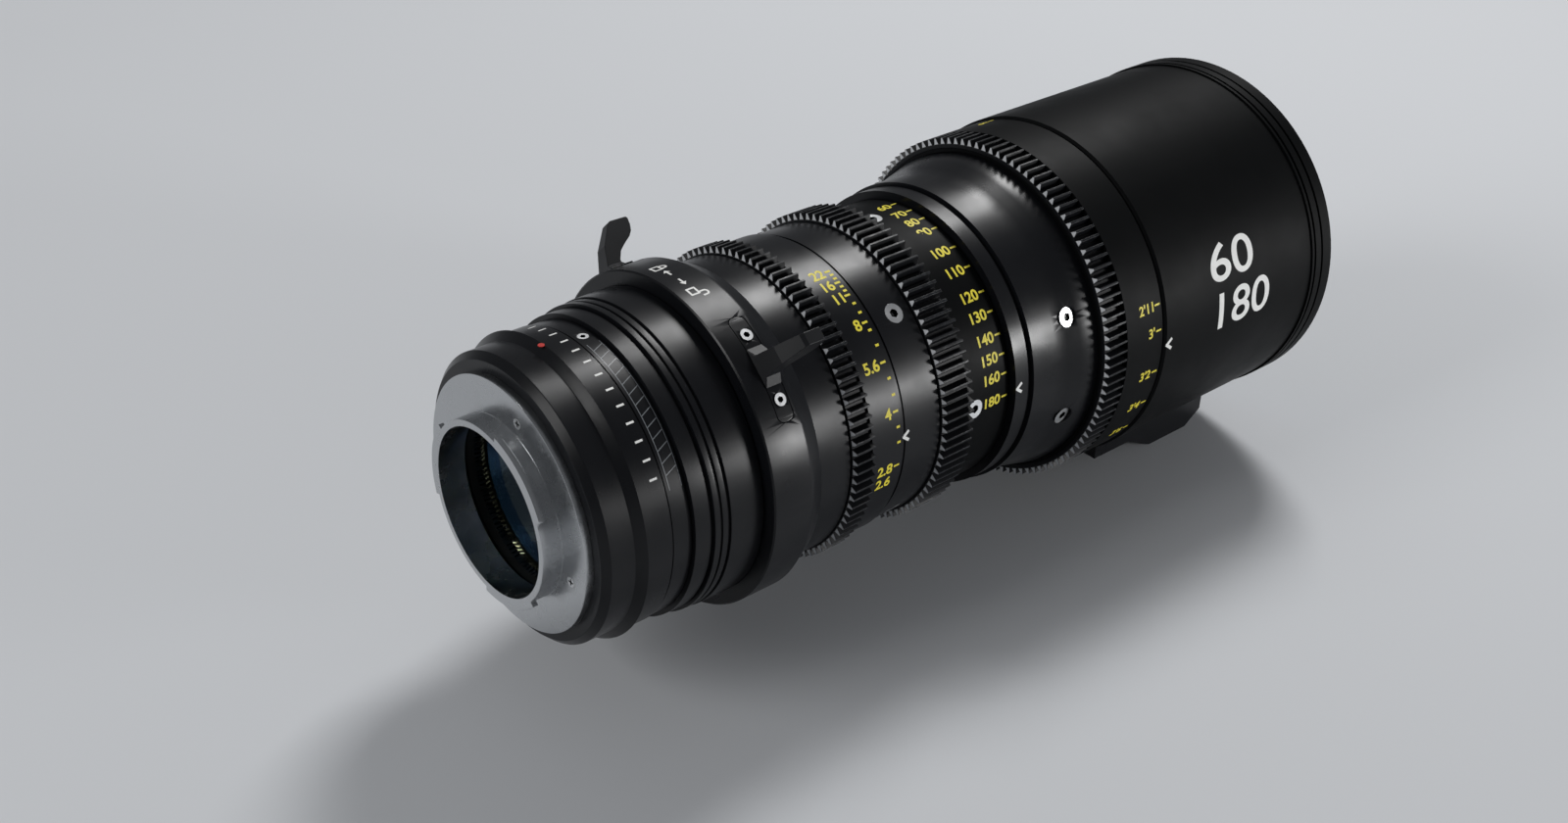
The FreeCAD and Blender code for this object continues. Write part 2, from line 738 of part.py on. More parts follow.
keep(turned("rear_barrel", [
    ("mount_bore_r", "lug_front"), ("mount_flange_r", "lug_front"),
    ("mount_flange_r", "rear_neck_front"), ("rear_barrel_r", "rear_neck_front"),
    ("rear_barrel_r", "rear_barrel_front"), ("tube_r", "rear_barrel_front"),
    ("tube_r", "lock_shoulder"), ("mount_bore_r", "lock_shoulder")]), "rear_barrel")

derived("blade_rear", "iris_rear + inner_gap + inner_gap + inner_gap + inner_gap + inner_gap")
derived("blade_stack", "blade_pitch * blade_count")
derived("cam_plate_rear", "blade_rear + blade_stack + ring_gap")
derived("cam_plate_front", "cam_plate_rear + cam_rim_long")
derived("iris_key_y", "cam_plate_rear + cam_rim_long / 2")
derived("zoom_key_y", "zoom_gear_front + zoom_key_ahead")
tube_body = tube("main_tube", "tube_r", "tube_bore_r", "lock_shoulder", "main_step")
key_slot_half = number("key_r") + number("slot_clear")
tools = slot_tool(number("tube_bore_r") - 1, number("tube_r") + 1, number("iris_key_y"),
                  key_slot_half, number("iris_key_angle") - number("iris_open_angle"),
                  number("iris_key_angle") + number("iris_close_angle"))
tools += slot_tool(number("tube_bore_r") - 1, number("tube_r") + 1, number("zoom_key_y"),
                   key_slot_half, number("zoom_key_angle"),
                   number("zoom_key_angle") + number("zoom_turn_angle"))
keep(cut_from("main_tube", tube_body, tools), "main_tube")


# Iris ring, gear and key

derived("ring_bore_r", "tube_r + running_fit")
derived("iris_seat_r", "gear_module * iris_teeth / 2 - gear_module * 1.25 - gear_seat")
derived("key_floor_r", "ring_bore_r + gear_seat")


def control_ring(node, seat_r, outer_r, rear, gear_front, front, key_angle, key_y, key_inner,
                 bore_r="ring_bore_r"):
    """A control ring with its gear seat, and the key that leads its turn inwards."""
    body = turned(node, [
        (bore_r, rear), (seat_r, rear), (seat_r, gear_front), (outer_r, gear_front),
        (outer_r, front), (bore_r, front)])
    key = peg(number("key_r"), key_inner, number("key_floor_r"), key_angle, key_y)
    return body, key


iris_body, iris_key = control_ring("iris_ring", "iris_seat_r", "iris_ring_r", "iris_rear",
                                   "iris_gear_front", "iris_front", number("iris_key_angle"),
                                   number("iris_key_y"), number("guide_r"))
keep(cut_from("iris_ring", iris_body, [iris_key]), "iris_ring")
keep(gear("iris_gear", "iris_teeth", number("iris_seat_r"), number("iris_rear"),
          number("iris_gear_front")), "iris_gear")
keep(solid("iris_key", iris_key), "iris_key")


# Iris housing, cam plate, retainer and blades

derived("housing_rear", "blade_rear - inner_gap - inner_gap - inner_gap")
derived("housing_floor", "blade_rear - ring_gap / 2")
derived("housing_front", "cam_plate_rear - ring_gap")
housing_body = turned("iris_housing", [
    ("housing_bore_r", "housing_rear"), ("tube_bore_r", "housing_rear"),
    ("tube_bore_r", "housing_front"), ("iris_outer_r", "housing_front"),
    ("iris_outer_r", "housing_floor"), ("housing_bore_r", "housing_floor")])
blade_count = int(round(number("blade_count")))
blade_step = 360.0 / blade_count
pivot_hole_r = number("blade_pin_r") + number("running_fit")
tools = [Part.makeCylinder(pivot_hole_r, number("housing_floor") - number("housing_rear"),
                           at(number("blade_pivot_r"), blade_step * index, number("housing_rear")),
                           AXIS) for index in range(blade_count)]
keep(cut_from("iris_housing", housing_body, tools), "iris_housing")

derived("cam_plate_r", "tube_bore_r - inner_gap")
derived("cam_web_front", "cam_plate_rear + cam_web")
cam_plate_body = turned("iris_cam_plate", [
    ("housing_bore_r", "cam_plate_rear"), ("cam_plate_r", "cam_plate_rear"),
    ("cam_plate_r", "cam_plate_front"), ("guide_bore_r", "cam_plate_front"),
    ("guide_bore_r", "cam_web_front"), ("housing_bore_r", "cam_web_front")])
keep(cut_from("iris_cam_plate", cam_plate_body, [iris_key]), "iris_cam_plate")

derived("retainer_rear", "cam_plate_front + ring_gap")
derived("retainer_front", "retainer_rear + cell_wall")
keep(tube("iris_retainer", "tube_bore_r", "guide_bore_r", "retainer_rear", "retainer_front"),
     "iris_retainer")


def iris_blade(index):
    """One blade: a band round the opening, with an ear and a pin outside it."""
    angle = blade_step * index
    rear = number("blade_rear") + index * number("blade_pitch")
    front = rear + number("blade_thick")
    arc = number("blade_arc_angle")
    band = arc_block(number("blade_outer_r"), number("blade_bore_r"), rear, front,
                     angle + arc / 2 - number("slot_clear"), arc)
    pivot = at(number("blade_pivot_r"), angle, rear)
    ear = Part.makeCylinder(number("blade_ear_r"), front - rear, pivot, AXIS)
    neck = Part.makeBox(number("blade_ear_r"), front - rear, number("blade_ear_r") * 2,
                        FreeCAD.Vector(0, rear, number("blade_pivot_r") - number("blade_ear_r") * 2))
    pin_rear = number("housing_rear") + number("seam")
    pin = Part.makeCylinder(number("blade_pin_r"), front - pin_rear,
                            at(number("blade_pivot_r"), angle, pin_rear), AXIS)
    shape = band.fuse([ear, turn_about_axis(neck, angle), pin])
    shape.rotate(pivot, AXIS, number("iris_open_angle") * number("blade_turn_ratio"))
    return shape


for index in range(blade_count):
    node = "iris_blade_%d" % (index + 1)
    keep(solid(node, iris_blade(index)), node)


# Barrel between the iris and zoom rings

MID_ANGLES = (41.0, 131.0, 221.0, 311.0)
derived("mid_line_r", "mid_barrel_r - seam")
derived("mid_line_rear", "mid_rear + groove_wide")
derived("mid_line_front", "mid_line_rear + groove_wide")
mid_body = turned("mid_barrel", [
    ("tube_r", "mid_rear"), ("mid_barrel_r", "mid_rear"), ("mid_barrel_r", "mid_line_rear"),
    ("mid_line_r", "mid_line_rear"), ("mid_line_r", "mid_line_front"),
    ("mid_barrel_r", "mid_line_front"), ("mid_barrel_r", "mid_front"), ("tube_r", "mid_front")])
mid_places = [(angle, number("mid_rear") + number("mid_screw_ahead")) for angle in MID_ANGLES]
keep(cut_from("mid_barrel", mid_body, screw_pockets(number("mid_barrel_r"), mid_places)),
     "mid_barrel")
set_screws("mid_barrel_screws", number("mid_barrel_r"), mid_places)


# Zoom ring, gear, key and cam tube

ZOOM_ANGLES = (-3.5, 87.5, 178.5, 269.5)
derived("zoom_seat_r", "gear_module * zoom_teeth / 2 - gear_module * 1.25 - gear_seat - gear_seat")
zoom_body, zoom_key = control_ring("zoom_ring", "zoom_seat_r", "zoom_ring_r", "zoom_rear",
                                   "zoom_gear_front", "zoom_front", number("zoom_key_angle"),
                                   number("zoom_key_y"), number("cam_bore_r"))
zoom_places = [(angle, number("zoom_gear_front") + number("zoom_screw_ahead"))
               for angle in ZOOM_ANGLES]
tools = [zoom_key] + screw_pockets(number("zoom_ring_r"), zoom_places)
keep(cut_from("zoom_ring", zoom_body, tools), "zoom_ring")
keep(gear("zoom_gear", "zoom_teeth", number("zoom_seat_r"), number("zoom_rear"),
          number("zoom_gear_front")), "zoom_gear")
keep(solid("zoom_key", zoom_key), "zoom_key")
set_screws("zoom_ring_screws", number("zoom_ring_r"), zoom_places)

derived("guide_rear", "retainer_front + inner_gap + inner_gap")
derived("guide_flange_front", "guide_rear + cell_wall")
derived("cam_rear", "guide_flange_front + ring_gap")
derived("cam_front", "main_step - inner_gap")
cam_body = tube("zoom_cam_tube", "cam_r", "cam_bore_r", "cam_rear", "cam_front")
keep(cut_from("zoom_cam_tube", cam_body, [zoom_key]), "zoom_cam_tube")


# Guide tube with its straight slots, and the two groups that slide in it

GUIDE_ANGLES = (30.0, 150.0, 270.0)
derived("compensator_rear", "cam_rear + inner_gap")
derived("compensator_front", "compensator_rear + compensator_long")
derived("variator_rear", "compensator_front + compensator_travel")
derived("variator_front", "variator_rear + variator_long")
derived("compensator_pin_y", "compensator_rear + compensator_long / 2")
derived("variator_pin_y", "variator_rear + variator_long / 2")
derived("guide_front", "main_front - ring_gap")
derived("front_flange_rear", "main_step + inner_gap")
derived("front_flange_front", "front_flange_rear + cell_wall")
guide_body = turned("guide_tube", [
    ("guide_bore_r", "guide_rear"), ("tube_bore_r", "guide_rear"),
    ("tube_bore_r", "guide_flange_front"), ("guide_r", "guide_flange_front"),
    ("guide_r", "front_flange_rear"), ("main_bore_r", "front_flange_rear"),
    ("main_bore_r", "front_flange_front"), ("guide_r", "front_flange_front"),
    ("guide_r", "guide_front"), ("guide_bore_r", "guide_front")])
slot_half = number("pin_r") + number("slot_clear")


def long_slot(inner, outer, angle, first, last):
    """A straight slot along the axis for a guide pin."""
    box = Part.makeBox(2 * slot_half, last - first, outer - inner,
                       FreeCAD.Vector(-slot_half, first, inner))
    box = turn_about_axis(box, angle)
    return [box, peg(slot_half, inner, outer, angle, first), peg(slot_half, inner, outer, angle, last)]


tools = []
for angle in GUIDE_ANGLES:
    tools += long_slot(number("guide_bore_r") - 1, number("cam_bore_r"), angle,
                       number("compensator_pin_y"),
                       number("variator_pin_y") + number("variator_travel"))
keep(cut_from("guide_tube", guide_body, tools), "guide_tube")


def sliding_cell(node, outer, bore, rear, front, pin_y, pin_outer):
    """A cell with three guide pins, which a pair of slots keeps from turning."""
    body = tube(node, outer, bore, rear, front)
    shape = body.Shape.copy()
    for angle in GUIDE_ANGLES:
        shape = shape.fuse(peg(number("pin_r"), number(bore) + number("seam"), pin_outer,
                               angle, pin_y))
    return keep(solid(node, shape), node)


derived("slide_r", "guide_bore_r - running_fit")
sliding_cell("compensator_cell", "slide_r", "variator_bore_r", "compensator_rear",
             "compensator_front", number("compensator_pin_y"), number("guide_r"))
sliding_cell("variator_cell", "slide_r", "variator_bore_r", "variator_rear",
             "variator_front", number("variator_pin_y"), number("guide_r"))
derived("compensator_glass", "compensator_rear + group_glass_sink")
derived("compensator_glass_deep", "compensator_long - 2 * group_glass_sink")
glass_element("compensator_element", "variator_bore_r", "compensator_glass",
              "compensator_glass_deep", "- weak_bow", "weak_bow")
derived("variator_glass", "variator_rear + variator_glass_sink")
derived("variator_glass_deep", "variator_long - 2 * variator_glass_sink")
glass_element("variator_element", "variator_bore_r", "variator_glass", "variator_glass_deep",
              "weak_bow", "- weak_bow")


# Relay group in the lens mount

derived("relay_rear", "mount_tube_rear + inner_gap + inner_gap")
derived("relay_front", "rear_barrel_front - cell_wall")
keep(tube("relay_cell", "mount_bore_r", "relay_bore_r", "relay_rear", "relay_front"), "relay_cell")
derived("relay_rear_glass", "relay_rear + relay_rear_sink")
derived("relay_front_glass", "relay_front - relay_front_sink")
glass_element("relay_rear_element", "relay_bore_r", "relay_rear_glass", "relay_glass_deep",
              "- weak_bow", "- weak_bow")
glass_element("relay_front_element", "relay_bore_r", "relay_front_glass", "relay_glass_deep",
              "- weak_bow", "weak_bow")


# Main barrel, whose sleeve carries the focus ring

MAIN_ANGLES = (65.5, 104.5, 255.5, 294.5)
derived("main_groove_r", "main_band_r - groove_deep")
derived("main_groove_rear", "main_band_front - main_groove_long")
derived("main_cone_rear", "main_band_front + main_straight_long")
derived("main_cone_front", "main_cone_rear + main_cone_long")
main_body = turned("main_barrel", [
    ("tube_r", "main_rear"), ("main_band_r", "main_rear"), ("main_band_r", "main_groove_rear"),
    ("main_groove_r", "main_groove_rear"), ("main_groove_r", "main_band_front"),
    ("main_r", "main_band_front"), ("main_r", "main_cone_rear"), ("sleeve_r", "main_cone_front"),
    ("sleeve_r", "sleeve_front"),
    ("main_bore_r", "sleeve_front"), ("main_bore_r", "front_flange_rear"),
    ("tube_bore_r", "front_flange_rear"), ("tube_bore_r", "main_step"), ("tube_r", "main_step")])
main_screw_y = number("main_front") - number("main_screw_back")
cone_share = (main_screw_y - number("main_cone_rear")) / number("main_cone_long")
main_screw_r = number("main_r") + cone_share * (number("sleeve_r") - number("main_r"))
main_places = [(angle, main_screw_y) for angle in MAIN_ANGLES]
derived("relief_rear", "focus_gear_front + relief_rear_gap")
derived("relief_front", "focus_front - relief_front_land")
derived("focus_near_step", "focus_travel * focus_near_angle / focus_turn")
derived("focus_pin_y", "relief_front - slot_clear - pin_r - focus_near_step")
tools = screw_pockets(main_screw_r, main_places)
for angle in GUIDE_ANGLES:
    tools += long_slot(number("main_bore_r") - 1, number("sleeve_r") + 1, angle,
                       number("focus_pin_y") + number("focus_near_step") - number("focus_travel"),
                       number("focus_pin_y") + number("focus_near_step"))
keep(cut_from("main_barrel", main_body, tools), "main_barrel")
set_screws("main_barrel_screws", main_screw_r, main_places)


# Focus ring, gear and the group that it moves

derived("focus_bore_r", "sleeve_r + running_fit")
derived("focus_seat_r", "gear_module * focus_teeth / 2 - gear_module * 1.25 - gear_seat")
keep(turned("focus_ring", [
    ("focus_bore_r", "focus_rear"), ("focus_seat_r", "focus_rear"),
    ("focus_seat_r", "focus_gear_front"), ("focus_ring_r", "focus_gear_front"),
    ("focus_ring_r", "focus_front"), ("focus_bore_r", "focus_front"),
    ("focus_bore_r", "relief_front"), ("relief_r", "relief_front"),
    ("relief_r", "relief_rear"), ("focus_bore_r", "relief_rear")]), "focus_ring")
keep(gear("focus_gear", "focus_teeth", number("focus_seat_r"), number("focus_rear"),
          number("focus_gear_front")), "focus_gear")

derived("focus_cell_r", "main_bore_r - running_fit")
derived("focus_cell_front", "focus_pin_y + pin_r + cell_wall + cell_wall")
derived("focus_cell_rear", "focus_cell_front - focus_cell_long")
sliding_cell("focus_cell", "focus_cell_r", "focus_cell_bore_r", "focus_cell_rear",
             "focus_cell_front", number("focus_pin_y"), number("relief_r") - number("slot_clear"))
derived("focus_glass", "focus_cell_front - focus_glass_sink")
glass_element("focus_element", "focus_cell_bore_r", "focus_glass", "focus_glass_deep",
              "- mid_bow", "- mid_bow")


# Front barrel, front group and trim

derived("front_bore_r", "front_r - front_wall")
derived("front_edge_r", "front_barrel_r - front_rear_chamfer")
derived("front_edge_y", "front_rear + front_rear_chamfer")
derived("rim_front_groove", "front_end - rim_land")
derived("rim_front_groove_rear", "rim_front_groove - rim_groove_wide")
derived("rim_rear_groove", "rim_front_groove - rim_groove_pitch")
derived("rim_rear_groove_rear", "rim_rear_groove - rim_groove_wide")
derived("rim_rear", "rim_rear_groove_rear - rim_groove_wide")
derived("rim_groove_r", "front_r - rim_groove_deep")
front_body = turned("front_barrel", [
    ("sleeve_r", "front_rear"), ("front_edge_r", "front_rear"), ("front_barrel_r", "front_edge_y"),
    ("front_barrel_r", "rim_rear"), ("front_r", "rim_rear"), ("front_r", "rim_rear_groove_rear"),
    ("rim_groove_r", "rim_rear_groove_rear"), ("rim_groove_r", "rim_rear_groove"),
    ("front_r", "rim_rear_groove"), ("front_r", "rim_front_groove_rear"),
    ("rim_groove_r", "rim_front_groove_rear"), ("rim_groove_r", "rim_front_groove"),
    ("front_r", "rim_front_groove"), ("front_r", "front_end"), ("front_bore_r", "front_end"),
    ("front_bore_r", "sleeve_front"), ("sleeve_r", "sleeve_front")])
keep(tube("front_trim", "front_bore_r", "filter_r", "trim_rear", "front_end"), "front_trim")

derived("front_cell_front", "trim_rear")
derived("front_cell_rear", "front_cell_front - front_cell_long")
keep(tube("front_cell", "front_bore_r", "front_glass_r", "front_cell_rear", "front_cell_front"),
     "front_cell")
derived("front_glass", "front_cell_front - front_glass_sink")
derived("second_glass", "front_cell_front - second_glass_sink")
glass_element("front_element", "front_glass_r", "front_glass", "front_glass_deep", "strong_bow",
              "front_bow")
glass_element("second_element", "front_glass_r", "second_glass", "second_glass_deep",
              "- strong_bow", "strong_bow")


# Support foot, bolted under the front barrel

UP = FreeCAD.Vector(0, 0, 1)
derived("foot_bridge_z", "0 - front_barrel_r - foot_bridge")
derived("foot_block_z", "foot_bridge_z - foot_block")
derived("foot_nose_z", "foot_block_z + foot_nose_rise")
derived("foot_nose_rear", "foot_front - foot_nose_long")
derived("foot_front_screw_y", "foot_front - foot_screw_back")
derived("foot_rear_screw_y", "foot_rear + foot_screw_ahead")


def foot_blank():
    """The foot's side view as wide as the foot, hollowed to sit on the front barrel."""
    rear = number("foot_rear")
    front = number("foot_front")
    side = [(rear, 0.0), (front, 0.0), (front, number("foot_nose_z")),
            (number("foot_nose_rear"), number("foot_block_z")),
            (number("foot_block_flat"), number("foot_block_z")),
            (number("foot_block_rear"), number("foot_bridge_z")), (rear, number("foot_bridge_z"))]
    half = number("foot_half")
    points = [FreeCAD.Vector(-half, place, height) for place, height in side]
    blank = Part.Face(Part.makePolygon(points + points[:1])).extrude(FreeCAD.Vector(2 * half, 0, 0))
    barrel = Part.makeCylinder(number("front_barrel_r"), front - rear, FreeCAD.Vector(0, rear, 0), AXIS)
    return blank.cut(barrel)


def upright(radius, side, place, low, high):
    """An upright cylinder at a distance beside the axis."""
    return Part.makeCylinder(radius, high - low, FreeCAD.Vector(side, place, low), UP)


foot = foot_blank()
for side, tap_r in ((-1, "large_tap_r"), (1, "small_tap_r")):
    foot = foot.cut(upright(number(tap_r), side * number("foot_hole_side"), number("foot_hole_y"),
                            number("foot_block_z"), number("foot_block_z") + number("foot_hole_deep")))

foot_screws = []
foot_tools = []
# the wall is lowest at the screw's side nearest the axis, where the screw ends short of it
nearest = number("foot_screw_side") - number("foot_screw_r")
reach = -math.sqrt(number("front_bore_r") ** 2 - nearest ** 2) - number("seam")
for place, low in ((number("foot_front_screw_y"), number("foot_block_z")),
                   (number("foot_rear_screw_y"), number("foot_bridge_z"))):
    low_end = low + number("foot_screw_sink")
    for side in (-number("foot_screw_side"), number("foot_screw_side")):
        shank = upright(number("foot_screw_r"), side, place, low_end, reach)
        foot_tools.append(upright(number("foot_screw_r"), side, place, low, reach))
        socket = upright(number("foot_screw_r") / 2, side, place, low, low_end + number("seam"))
        foot_screws.append(shank.cut(socket))
for tool in foot_tools:
    foot = foot.cut(tool)
keep(solid("support_foot", foot), "support_foot")
keep(solid("foot_screws", Part.makeCompound(foot_screws)), "foot_screws")
keep(cut_from("front_barrel", front_body, foot_tools), "front_barrel")

for node_object in parts:
    shape = node_object.Shape
    if shape.isNull() or not shape.isValid() or shape.Volume <= 0:
        raise ValueError("a bad solid: " + node_object.Label)

doc.recompute()
for thing in doc.Objects:
    if "Invalid" in thing.State or "Error" in thing.State:
        raise ValueError("not recomputed: " + thing.Name)

os.makedirs("parts", exist_ok=True)
for node_object in parts:
    node_object.Shape.exportStep("parts/" + node_object.Label + ".step")
print(len(parts), "nodes")
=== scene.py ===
import json
import math
import bmesh
import bpy
from mathutils import Matrix, Vector


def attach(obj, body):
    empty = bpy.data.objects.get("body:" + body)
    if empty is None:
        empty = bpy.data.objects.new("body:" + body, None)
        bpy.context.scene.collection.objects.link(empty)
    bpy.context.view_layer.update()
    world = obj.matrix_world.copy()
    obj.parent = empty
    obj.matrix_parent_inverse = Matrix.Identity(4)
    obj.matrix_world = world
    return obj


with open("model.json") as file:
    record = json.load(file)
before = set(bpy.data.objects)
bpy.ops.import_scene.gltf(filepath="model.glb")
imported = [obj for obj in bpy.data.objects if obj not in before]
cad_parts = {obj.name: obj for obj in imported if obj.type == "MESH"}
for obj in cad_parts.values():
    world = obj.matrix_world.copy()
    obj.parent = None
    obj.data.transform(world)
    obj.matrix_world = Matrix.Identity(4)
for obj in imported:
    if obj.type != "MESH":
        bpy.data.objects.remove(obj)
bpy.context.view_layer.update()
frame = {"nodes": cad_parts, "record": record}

MM = 0.001

# Colours

BLACK = "#101114"
DEEP_BLACK = "#08090A"
# Grey of the gear teeth's tips: wear, and partly a painted highlight
WEAR_AND_SHEEN_BLACK = "#2A2C2F"
# Pale grey of a painted highlight on the gear teeth's ends
END_HIGHLIGHT_GREY = "#D2D4D7"
YELLOW = "#E6D63A"
WHITE = "#EDEDEA"
RED = "#C02A20"
GROOVE_GREY = "#6E7276"
STEEL = "#B9BBBD"
BRASS = "#B08D4A"
INNER_BLACK = "#101113"
BLADE_BLACK = "#141415"
SCREW_BRIGHT = "#E2E3E4"
CLEAR = "#F4FAF8"
FLOOR = "#D3D5D8"
BACKDROP = "#C9CBCE"
ROOM = "#DADDE2"


def linear(colour):
    """Linear red, green, blue and alpha of a written sRGB colour."""
    parts = [int(colour[i:i + 2], 16) / 255 for i in (1, 3, 5)]
    return [c / 12.92 if c <= 0.04045 else ((c + 0.055) / 1.055) ** 2.4 for c in parts] + [1.0]


def add(tree, kind, inputs=None, **settings):
    """A shader node with its settings, and its inputs set or linked."""
    node = tree.nodes.new("ShaderNode" + kind)
    for name, value in settings.items():
        setattr(node, name, value)
    for name, value in (inputs or {}).items():
        socket = node.inputs[name]
        if isinstance(value, bpy.types.NodeSocket):
            tree.links.new(value, socket)
        else:
            socket.default_value = value
    return node


def finish(name, colour, roughness, metallic=0.0, **sockets):
    """A new material with one plain shader. Sockets are named with _ for each space."""
    material = bpy.data.materials.new(name)
    material.use_nodes = True
    tree = material.node_tree
    shader = tree.nodes["Principled BSDF"]
    shader.inputs["Base Color"].default_value = linear(colour)
    shader.inputs["Roughness"].default_value = roughness
    shader.inputs["Metallic"].default_value = metallic
    for socket, value in sockets.items():
        shader.inputs[socket.replace("_", " ")].default_value = value
    return material, tree, shader


def from_axis(tree, where):
    """How far a point lies from the optical axis, in metres."""
    across = add(tree, "VectorMath", {0: where, 1: (1, 0, 1)}, operation="MULTIPLY")
    return add(tree, "VectorMath", {0: across.outputs[0]}, operation="LENGTH").outputs["Value"]


def patches(tree, where, size_mm, detail=2.0, roughness=0.5):
    """Soft random patches of about a size."""
    noise = add(tree, "TexNoise", {"Vector": where, "Scale": 1 / (size_mm * MM), "Detail": detail,
                                   "Roughness": roughness})
    return noise.outputs["Fac"]


def turned_lines(tree, where, pitch_mm):
    """The fine rings that a lathe tool leaves round the optical axis."""
    along = add(tree, "SeparateXYZ", {0: where}).outputs["Y"]
    noise = add(tree, "TexNoise", {"W": along, "Scale": 1 / (pitch_mm * MM), "Detail": 1.0},
                noise_dimensions="1D")
    return noise.outputs["Fac"]


# The values between which most of a noise pattern lies
NOISE_LOW = 0.3
NOISE_HIGH = 0.7


def uneven_gloss(tree, shader, pattern, shiny, dull):
    """Roughness that a noise pattern carries from shiny to dull."""
    gloss = add(tree, "MapRange", {"Value": pattern, "From Min": NOISE_LOW, "From Max": NOISE_HIGH,
                                   "To Min": shiny, "To Max": dull})
    tree.links.new(gloss.outputs["Result"], shader.inputs["Roughness"])


def relief(tree, shader, height, depth_mm, strength):
    """A surface raised by a height pattern."""
    bump = add(tree, "Bump", {"Height": height, "Distance": depth_mm * MM, "Strength": strength})
    tree.links.new(bump.outputs["Normal"], shader.inputs["Normal"])


# Anodised aluminium. Its blasted grain of about 0.05 mm and its tool rings 0.1 mm apart are too
# fine to show in the render, and are drawn coarser here. Then the rings' share of the relief, its
# depth, and the patches that handling leaves shinier and duller.
BLAST_GRAIN_MM = 0.35
COARSE_GRAIN_MM = 0.5
FINE_GRAIN_MM = 0.25
TOOL_RINGS_MM = 0.45
TOOL_SHARE = 0.55
SKIN_DEPTH_MM = 0.006
HANDLED_MM = 22
SHINIER = 0.05
DULLER = 0.07


def anodised(name, colour, roughness, grain_mm=BLAST_GRAIN_MM, gloss=0.3):
    """Turned aluminium, blasted and anodised: an even satin with faint rings and handling marks."""
    material, tree, shader = finish(name, colour, roughness, Specular_IOR_Level=gloss)
    where = add(tree, "TexCoord").outputs["Object"]
    handled = patches(tree, where, HANDLED_MM, detail=3.0, roughness=0.6)
    uneven_gloss(tree, shader, handled, roughness - SHINIER, roughness + DULLER)
    grain = patches(tree, where, grain_mm, detail=1.0)
    rings = turned_lines(tree, where, TOOL_RINGS_MM)
    height = add(tree, "MixRGB", {"Fac": TOOL_SHARE, "Color1": grain, "Color2": rings})
    relief(tree, shader, height.outputs["Color"], SKIN_DEPTH_MM, strength=0.5)
    return material


# Gear teeth, cut and anodised: how high a tooth stands, how far down its tip is grey, from wear
# and a painted highlight, and in what patches, and how squarely a face looks back along the axis
# where it gets a pale painted highlight. The cutter's marks are finer than 0.1 mm, and are drawn
# coarser.
TOOTH_HIGH_MM = 1.7
TOOTH_BLEND_MM = 0.2
WEAR_AND_SHEEN_MM = 0.35
TIP_MM = 0.02
RUB_PATCH_MM = 1.6
RUB_PATCH_FROM = 0.35
CUTTER_MARK_MM = 0.3
CUT_ROUGHNESS = 0.44
RUBBED_ROUGHNESS = 0.3
END_HIGHLIGHT_FROM = -0.85
END_HIGHLIGHT_FULL = -0.97


def gear_anodised(name, tip_mm):
    """Cut teeth, anodised black: tips grey from wear and a painted highlight; ends with a pale
    painted highlight.
    """
    material, tree, shader = finish(name, BLACK, CUT_ROUGHNESS, Specular_IOR_Level=0.16)
    where = add(tree, "TexCoord").outputs["Object"]
    out = from_axis(tree, where)
    root_mm = tip_mm - TOOTH_HIGH_MM

    # Tips grey from wear in patches, a grey that also stands as a painted highlight on the tips
    tips = add(tree, "MapRange", {"Value": out, "From Min": (tip_mm - WEAR_AND_SHEEN_MM) * MM,
                                  "From Max": (tip_mm - TIP_MM) * MM})
    broken = add(tree, "MapRange", {"Value": patches(tree, where, RUB_PATCH_MM, detail=3.0),
                                    "From Min": RUB_PATCH_FROM, "From Max": NOISE_HIGH})
    wear_and_sheen = add(tree, "Math", {0: tips.outputs["Result"], 1: broken.outputs["Result"]},
               operation="MULTIPLY").outputs[0]
    wear_and_sheen_colour = add(tree, "Mix", {0: wear_and_sheen, 6: linear(BLACK), 7: linear(WEAR_AND_SHEEN_BLACK)}, data_type="RGBA")

    # Painted highlight: tooth faces that look back along the axis are painted pale grey
    facing = add(tree, "SeparateXYZ", {0: add(tree, "TexCoord").outputs["Normal"]}).outputs["Y"]
    end_highlight = add(tree, "MapRange", {"Value": facing, "From Min": END_HIGHLIGHT_FROM, "From Max": END_HIGHLIGHT_FULL})
    toothed = add(tree, "MapRange", {"Value": out, "From Min": root_mm * MM,
                                     "From Max": (root_mm + TOOTH_BLEND_MM) * MM})
    ends = add(tree, "Math", {0: end_highlight.outputs["Result"], 1: toothed.outputs["Result"]},
               operation="MULTIPLY").outputs[0]
    base = add(tree, "Mix", {0: ends, 6: wear_and_sheen_colour.outputs[2], 7: linear(END_HIGHLIGHT_GREY)}, data_type="RGBA")
    tree.links.new(base.outputs[2], shader.inputs["Base Color"])

    sheen = add(tree, "MapRange", {"Value": wear_and_sheen, "To Min": CUT_ROUGHNESS,
                                   "To Max": RUBBED_ROUGHNESS})
    tree.links.new(sheen.outputs["Result"], shader.inputs["Roughness"])
    marks = patches(tree, where, CUTTER_MARK_MM, detail=1.0)
    relief(tree, shader, marks, SKIN_DEPTH_MM, strength=0.5)
    return material


# Bare metal. Its tool rings are about 0.1 mm apart, and are drawn coarser on all but the screws.
RING_PITCH_MM = 0.3
SCREW_RING_PITCH_MM = 0.12
RING_DEPTH_MM = 0.004
DULL_PATCH_MM = 6
METAL_SHINIER = 0.06
METAL_DULLER = 0.08


def turned_metal(name, colour, roughness, pitch_mm=RING_PITCH_MM):
    """Bare turned metal: bright, with tool rings that draw its highlights out."""
    material, tree, shader = finish(name, colour, roughness, metallic=1.0)
    where = add(tree, "TexCoord").outputs["Object"]
    relief(tree, shader, turned_lines(tree, where, pitch_mm), RING_DEPTH_MM, strength=0.6)
    dull = patches(tree, where, DULL_PATCH_MM, detail=3.0)
    uneven_gloss(tree, shader, dull, roughness - METAL_SHINIER, roughness + METAL_DULLER)
    return material


# How far into a socket painted shade reaches, and how open a spot is where it is full and where none
SHADE_REACH_MM = 1.5
FULL_SHADE = 0.76
NO_SHADE = 0.92


